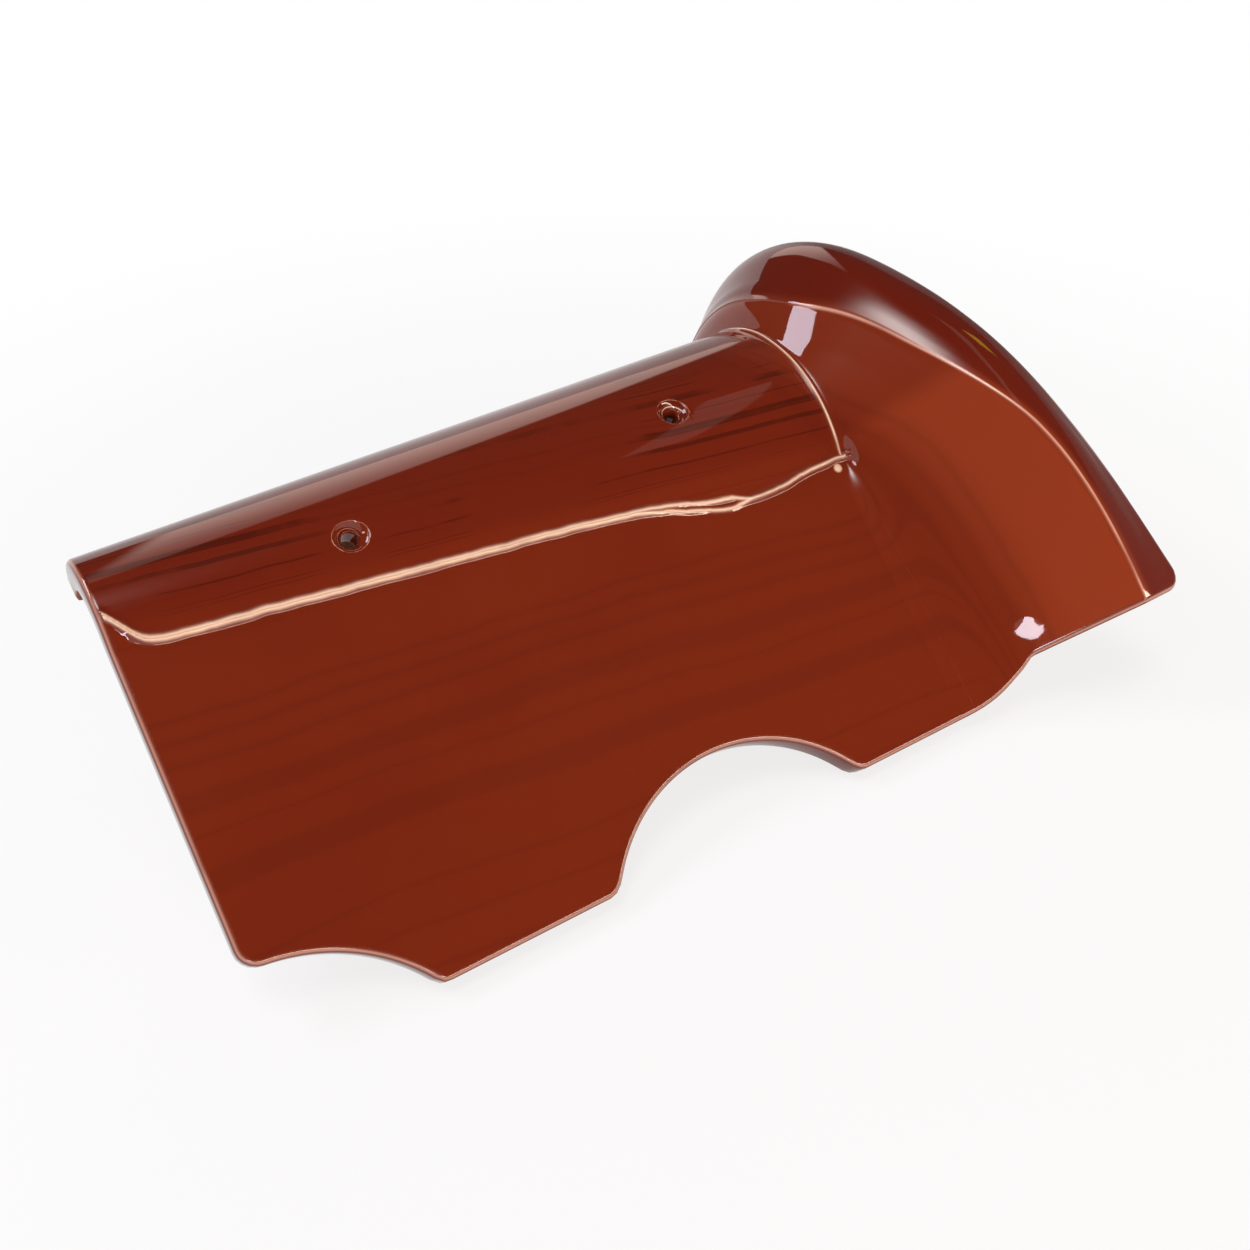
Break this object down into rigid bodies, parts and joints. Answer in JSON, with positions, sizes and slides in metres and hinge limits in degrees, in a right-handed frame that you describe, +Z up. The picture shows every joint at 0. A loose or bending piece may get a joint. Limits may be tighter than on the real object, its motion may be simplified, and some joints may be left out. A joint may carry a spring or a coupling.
{
  "type": "clay roof tile",
  "caption": "Glazed clay ridge tile with a scalloped flat apron, a tapered roll with countersunk nail holes and a raised hood at one end.",
  "frame": {"origin": "centre of the footprint, on the level that the tabs and the back leg stand on", "axes": "+X along the roll from the plain end to the hooded end, +Y from the scalloped edge to the back leg, +Z up"},
  "size_m": [0.4274, 0.2934, 0.1645],
  "materials": {
    "glazed_clay": "glossy red-brown glaze"
  },
  "bodies": {
    "root": {"ridge_tile": "glazed_clay"}
  },
  "joints": []
}
